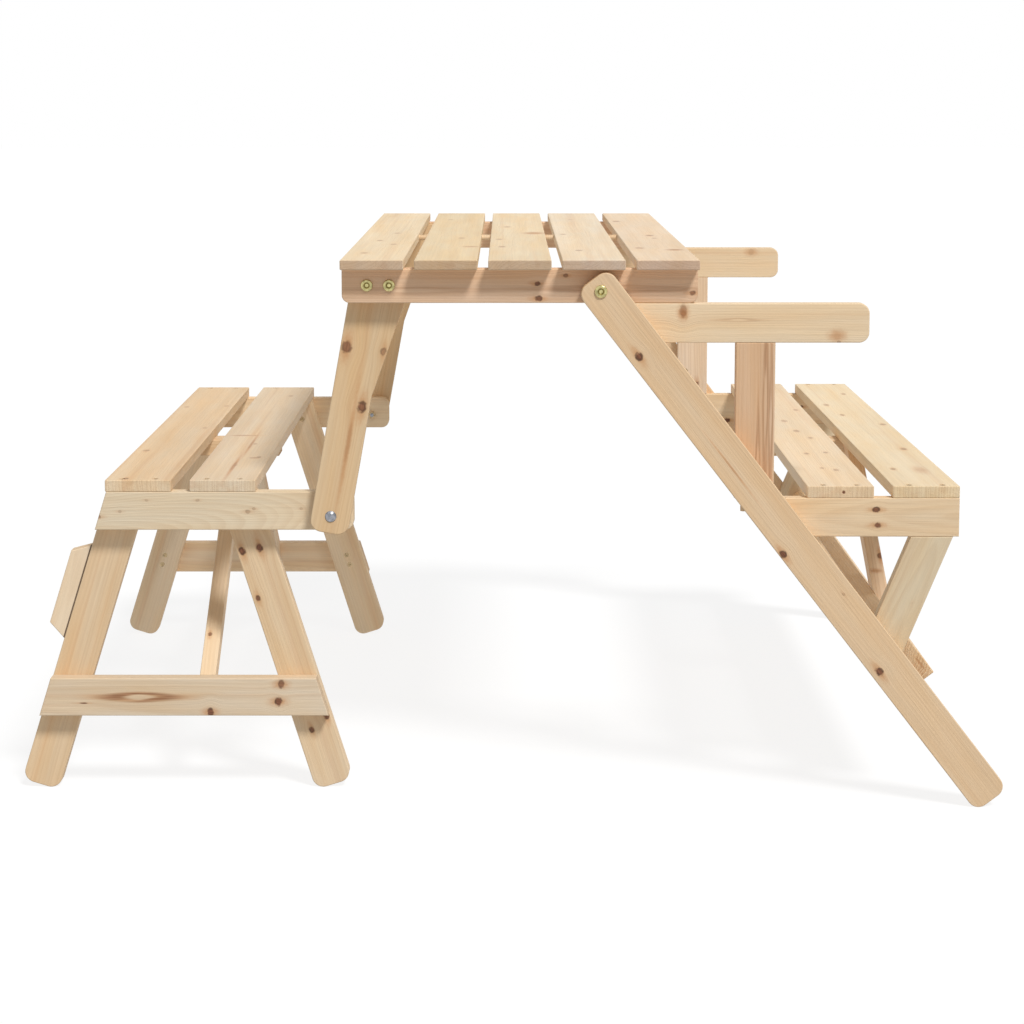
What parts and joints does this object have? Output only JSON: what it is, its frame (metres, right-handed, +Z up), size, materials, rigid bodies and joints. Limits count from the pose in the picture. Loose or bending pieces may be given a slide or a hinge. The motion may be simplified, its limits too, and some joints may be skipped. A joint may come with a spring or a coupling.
{
  "type": "convertible picnic table",
  "caption": "Wooden picnic table with a bench on each side, whose slatted top and one bench swing over on link arms to make a garden bench with a back.",
  "frame": {"origin": "on the floor in the middle of the footprint, below the middle of the bounding box", "axes": "+X from the moving bench towards the fixed bench, +Y along the slats from the front side to the rear side, +Z up"},
  "size_m": [1.2746, 1.065, 0.705],
  "materials": {
    "fir_board": "planed, untreated fir",
    "fir_slat": "planed, untreated fir",
    "dowel_wood": "turned, untreated",
    "yellow_zinc": "yellow zinc plate",
    "bright_zinc": "bright zinc plate"
  },
  "bodies": {
    "fixed_frame": {"armrest_front": "fir_board", "armrest_post_front": "fir_board", "armrest_post_rear": "fir_board", "armrest_rear": "fir_board", "frame_brace_front": "fir_board", "frame_brace_rear": "fir_board", "frame_dowels": "dowel_wood", "frame_screws": "yellow_zinc", "frame_seat_batten": "fir_board", "frame_seat_rail_front": "fir_board", "frame_seat_rail_rear": "fir_board", "frame_seat_slat_inner": "fir_slat", "frame_seat_slat_outer": "fir_slat", "frame_stretcher": "fir_board", "frame_strut_front": "fir_board", "frame_strut_rear": "fir_board", "long_leg_front": "fir_board", "long_leg_rear": "fir_board", "table_pivot_bolt_front": "yellow_zinc", "table_pivot_bolt_rear": "yellow_zinc", "table_pivot_nuts": "yellow_zinc", "table_pivot_washers": "yellow_zinc"},
    "table_top": {"bench_pivot_bolt_front": "bright_zinc", "bench_pivot_bolt_rear": "bright_zinc", "bench_pivot_nuts": "yellow_zinc", "bench_pivot_washers": "bright_zinc", "link_arm_bolts_front": "yellow_zinc", "link_arm_bolts_rear": "yellow_zinc", "link_arm_front": "fir_board", "link_arm_inserts": "yellow_zinc", "link_arm_rear": "fir_board", "table_rail_front": "fir_board", "table_rail_rear": "fir_board", "table_slat_1": "fir_slat", "table_slat_2": "fir_slat", "table_slat_3": "fir_slat", "table_slat_4": "fir_slat", "table_slat_5": "fir_slat", "table_slat_dowels": "dowel_wood", "table_spine_dowel": "dowel_wood"},
    "moving_bench": {"bench_crossbar_front": "fir_board", "bench_crossbar_rear": "fir_board", "bench_leg_inner_front": "fir_board", "bench_leg_inner_rear": "fir_board", "bench_leg_outer_front": "fir_board", "bench_leg_outer_rear": "fir_board", "bench_screws": "yellow_zinc", "bench_seat_batten": "fir_board", "bench_seat_rail_front": "fir_board", "bench_seat_rail_rear": "fir_board", "bench_seat_slat_inner": "fir_slat", "bench_seat_slat_outer": "fir_slat", "bench_stop_block_front": "fir_board", "bench_stop_block_rear": "fir_board", "bench_strut_front": "fir_board", "bench_strut_rear": "fir_board"}
  },
  "joints": [
    {"name": "top_fold", "type": "hinge", "parent": "fixed_frame", "child": "table_top", "pos_m": [0.1178, 0, 0.6657], "axis": [0, -1, 0], "range_deg": [0, 98.7]},
    {"name": "bench_swing", "type": "hinge", "parent": "table_top", "child": "moving_bench", "pos_m": [-0.2268, 0, 0.3712], "axis": [0, -1, 0], "range_deg": [-98.7, 0]}
  ],
  "couplings": [
    {"joint": "bench_swing", "follows": "top_fold", "ratio": -1}
  ]
}
